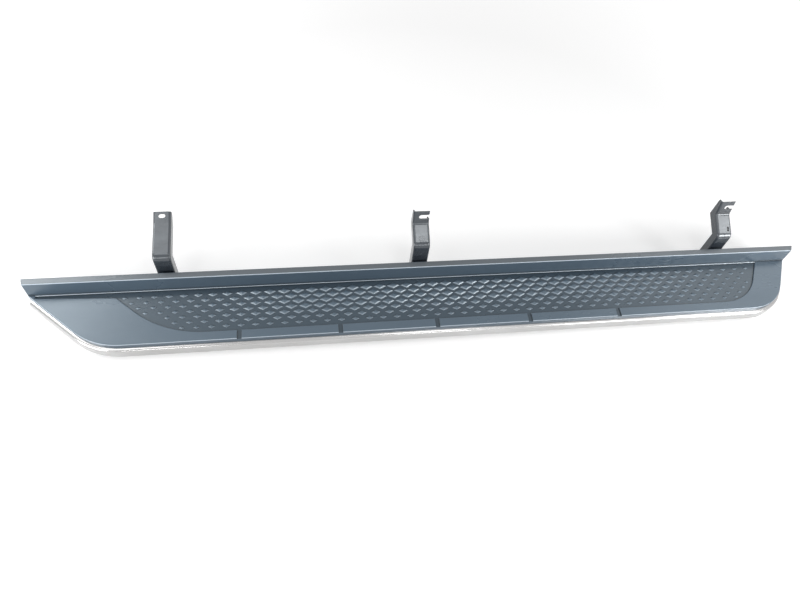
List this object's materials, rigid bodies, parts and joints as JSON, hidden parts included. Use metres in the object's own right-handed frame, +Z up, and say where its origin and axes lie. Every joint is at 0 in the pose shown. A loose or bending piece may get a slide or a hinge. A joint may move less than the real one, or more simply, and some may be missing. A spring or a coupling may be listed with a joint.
{
  "type": "vehicle side step",
  "caption": "Long side step for a vehicle sill: a lugged plastic board with a raised rear lip, a bright edge trim and pressed steel brackets.",
  "frame": {"origin": "on the surface that the step stands on, under the middle of its whole outline", "axes": "+X along the board towards its square-cut end, -Y towards the outer edge with the trim, +Z up"},
  "size_m": [1.748, 0.2758, 0.1776],
  "materials": {
    "moulding": "dark grey moulded plastic, semi-gloss with a fine grain",
    "tray": "black moulded plastic, matt",
    "trim": "bright anodised",
    "clip_steel": "spring steel, plain",
    "zinc": "zinc plated",
    "rail_paint": "black dip coat, satin",
    "bracket_paint": "black powder coat, satin with a light sheen",
    "pad_rubber": "matt",
    "plug": "matt"
  },
  "bodies": {
    "root": {"tread_moulding": "moulding", "underside_tray": "tray", "outer_trim": "trim", "trim_clips": "clip_steel", "tray_screws": "zinc", "carrier_rail": "rail_paint", "rail_plug_left": "plug", "rail_plug_right": "plug", "bracket_left": "bracket_paint", "bracket_middle": "bracket_paint", "bracket_right": "bracket_paint", "bracket_pads": "pad_rubber", "bracket_bolts": "zinc", "bracket_washers": "zinc", "nut_plate_left": "zinc", "nut_plate_middle": "zinc", "nut_plate_right": "zinc"}
  },
  "joints": []
}
